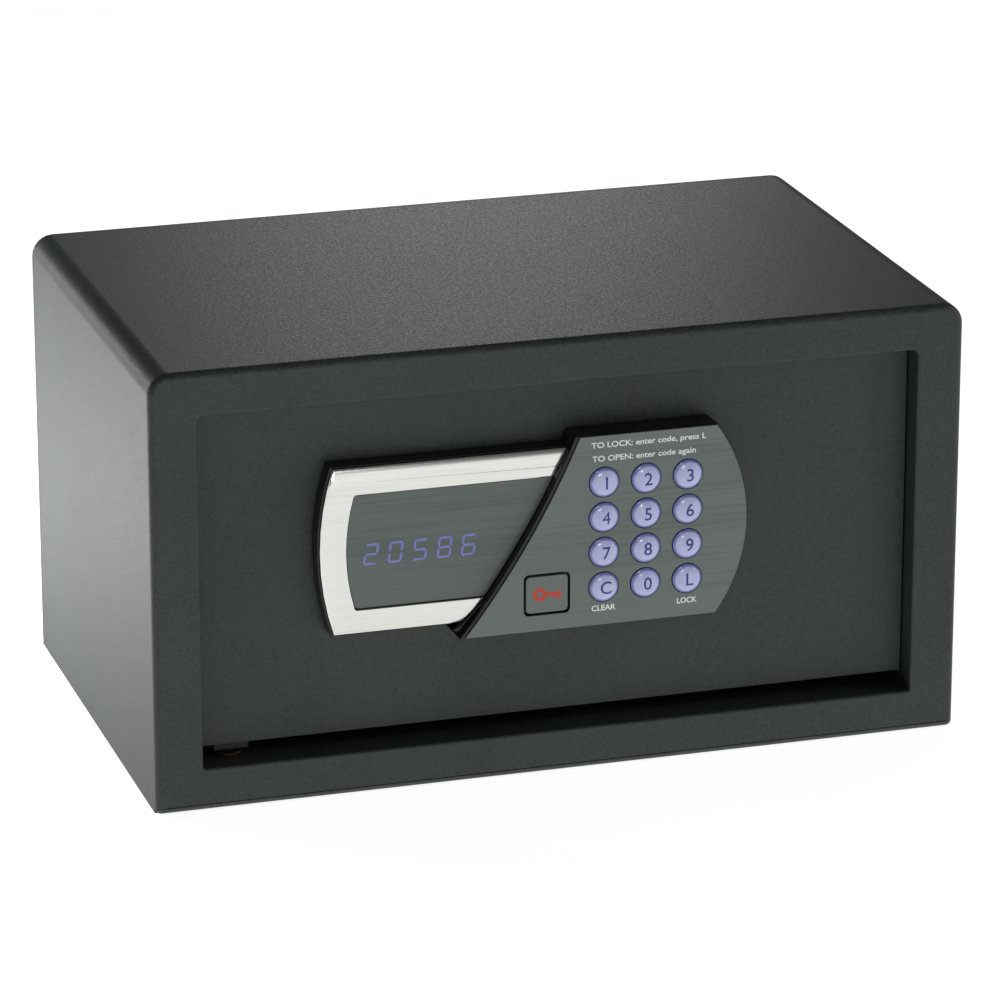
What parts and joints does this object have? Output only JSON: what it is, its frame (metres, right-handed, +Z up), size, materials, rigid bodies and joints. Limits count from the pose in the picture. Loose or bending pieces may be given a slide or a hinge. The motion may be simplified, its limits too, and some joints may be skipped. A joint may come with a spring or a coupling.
{
  "type": "in-room safe",
  "caption": "In-room safe: steel casing with rounded top edges, recessed pivot-hung door, digital keypad lock with display and motor-driven bolts.",
  "frame": {"origin": "middle of the object's box on the floor", "axes": "+X to the right seen from the front, -Y out of the door, +Z up"},
  "size_m": [0.4, 0.2516, 0.216],
  "materials": {
    "powder_coat": "fine textured powder coat, anthracite",
    "felt": "needle-punched felt",
    "brass": "turned brass",
    "cover_grey": "satin grey paint on pressed steel",
    "zinc_steel": "zinc-plated steel",
    "black_abs": "black moulded ABS, semi-gloss",
    "satin_chrome": "satin chrome plating",
    "smoked_window": "smoked acrylic, brushed grey",
    "fascia_grey": "printed grey overlay",
    "key_violet": "translucent violet silicone rubber, domed",
    "circuit_board": "solder resist",
    "ribbon_grey": "flat cable",
    "cell_sleeve": "plain printed sleeve"
  },
  "bodies": {
    "casing": {"casing_wrap": "powder_coat", "front_frame": "powder_coat", "door_jamb": "powder_coat", "base_plate": "powder_coat", "back_plate": "powder_coat", "floor_mat": "felt", "upper_hinge_bush": "brass", "lower_hinge_bush": "brass"},
    "door": {"door_plate": "powder_coat", "upper_hinge_pivot": "powder_coat", "lower_hinge_pivot": "powder_coat", "inner_cover": "cover_grey", "cover_screw_1": "zinc_steel", "cover_screw_2": "zinc_steel", "cover_screw_3": "zinc_steel", "cover_screw_4": "zinc_steel", "lock_housing": "black_abs", "chrome_bezel": "satin_chrome", "display_window": "smoked_window", "display_module": "circuit_board", "keypad_fascia": "fascia_grey", "keypad_board": "circuit_board", "override_cylinder": "zinc_steel", "bolt_guide": "zinc_steel", "guide_stud_1": "zinc_steel", "guide_stud_2": "zinc_steel", "gear_motor": "zinc_steel", "motor_bracket": "zinc_steel", "bolt_switch": "black_abs", "control_board": "circuit_board", "ribbon_cable": "ribbon_grey", "battery_box": "black_abs", "battery_cell_1": "cell_sleeve", "battery_cell_2": "cell_sleeve", "battery_cell_3": "cell_sleeve", "battery_cell_4": "cell_sleeve"},
    "bolts": {"bolt_carriage": "zinc_steel", "lower_bolt": "zinc_steel", "upper_bolt": "zinc_steel"},
    "pinion": {"motor_pinion": "brass"},
    "override": {"override_plug": "brass", "override_cam": "zinc_steel"},
    "badge": {"badge_cover": "fascia_grey"},
    "lid": {"battery_lid": "cover_grey"},
    "key_1": {"key_1": "key_violet"},
    "key_2": {"key_2": "key_violet"},
    "key_3": {"key_3": "key_violet"},
    "key_4": {"key_4": "key_violet"},
    "key_5": {"key_5": "key_violet"},
    "key_6": {"key_6": "key_violet"},
    "key_7": {"key_7": "key_violet"},
    "key_8": {"key_8": "key_violet"},
    "key_9": {"key_9": "key_violet"},
    "key_clear": {"key_clear": "key_violet"},
    "key_0": {"key_0": "key_violet"},
    "key_lock": {"key_lock": "key_violet"}
  },
  "joints": [
    {"name": "door_swing", "type": "hinge", "parent": "casing", "child": "door", "pos_m": [-0.161, -0.1, 0.1105], "axis": [0, 0, -1], "range_deg": [0, 100]},
    {"name": "bolt_throw", "type": "slide", "parent": "door", "child": "bolts", "axis": [1, 0, 0], "range_m": [0, 0.014]},
    {"name": "pinion_spin", "type": "hinge", "parent": "door", "child": "pinion", "pos_m": [-0.014, -0.0972, 0.133], "axis": [0, -1, 0], "range_deg": [0, 134]},
    {"name": "override_turn", "type": "hinge", "parent": "door", "child": "override", "pos_m": [-0.0099, -0.1072, 0.0923], "axis": [0, 1, 0], "range_deg": [-90, 0]},
    {"name": "badge_pull", "type": "slide", "parent": "door", "child": "badge", "axis": [0, -1, 0], "range_m": [0, 0.012]},
    {"name": "battery_lid_hinge", "type": "hinge", "parent": "door", "child": "lid", "pos_m": [-0.1, -0.0712, 0.0474], "axis": [-1, 0, 0], "range_deg": [0, 100]},
    {"name": "press_key_1", "type": "slide", "parent": "door", "child": "key_1", "axis": [0, 1, 0], "range_m": [0, 0.001], "stiffness_N_per_m": 900},
    {"name": "press_key_2", "type": "slide", "parent": "door", "child": "key_2", "axis": [0, 1, 0], "range_m": [0, 0.001], "stiffness_N_per_m": 900},
    {"name": "press_key_3", "type": "slide", "parent": "door", "child": "key_3", "axis": [0, 1, 0], "range_m": [0, 0.001], "stiffness_N_per_m": 900},
    {"name": "press_key_4", "type": "slide", "parent": "door", "child": "key_4", "axis": [0, 1, 0], "range_m": [0, 0.001], "stiffness_N_per_m": 900},
    {"name": "press_key_5", "type": "slide", "parent": "door", "child": "key_5", "axis": [0, 1, 0], "range_m": [0, 0.001], "stiffness_N_per_m": 900},
    {"name": "press_key_6", "type": "slide", "parent": "door", "child": "key_6", "axis": [0, 1, 0], "range_m": [0, 0.001], "stiffness_N_per_m": 900},
    {"name": "press_key_7", "type": "slide", "parent": "door", "child": "key_7", "axis": [0, 1, 0], "range_m": [0, 0.001], "stiffness_N_per_m": 900},
    {"name": "press_key_8", "type": "slide", "parent": "door", "child": "key_8", "axis": [0, 1, 0], "range_m": [0, 0.001], "stiffness_N_per_m": 900},
    {"name": "press_key_9", "type": "slide", "parent": "door", "child": "key_9", "axis": [0, 1, 0], "range_m": [0, 0.001], "stiffness_N_per_m": 900},
    {"name": "press_key_clear", "type": "slide", "parent": "door", "child": "key_clear", "axis": [0, 1, 0], "range_m": [0, 0.001], "stiffness_N_per_m": 900},
    {"name": "press_key_0", "type": "slide", "parent": "door", "child": "key_0", "axis": [0, 1, 0], "range_m": [0, 0.001], "stiffness_N_per_m": 900},
    {"name": "press_key_lock", "type": "slide", "parent": "door", "child": "key_lock", "axis": [0, 1, 0], "range_m": [0, 0.001], "stiffness_N_per_m": 900}
  ],
  "couplings": [
    {"joint": "pinion_spin", "follows": "bolt_throw", "rad_per_m": 166.67}
  ]
}
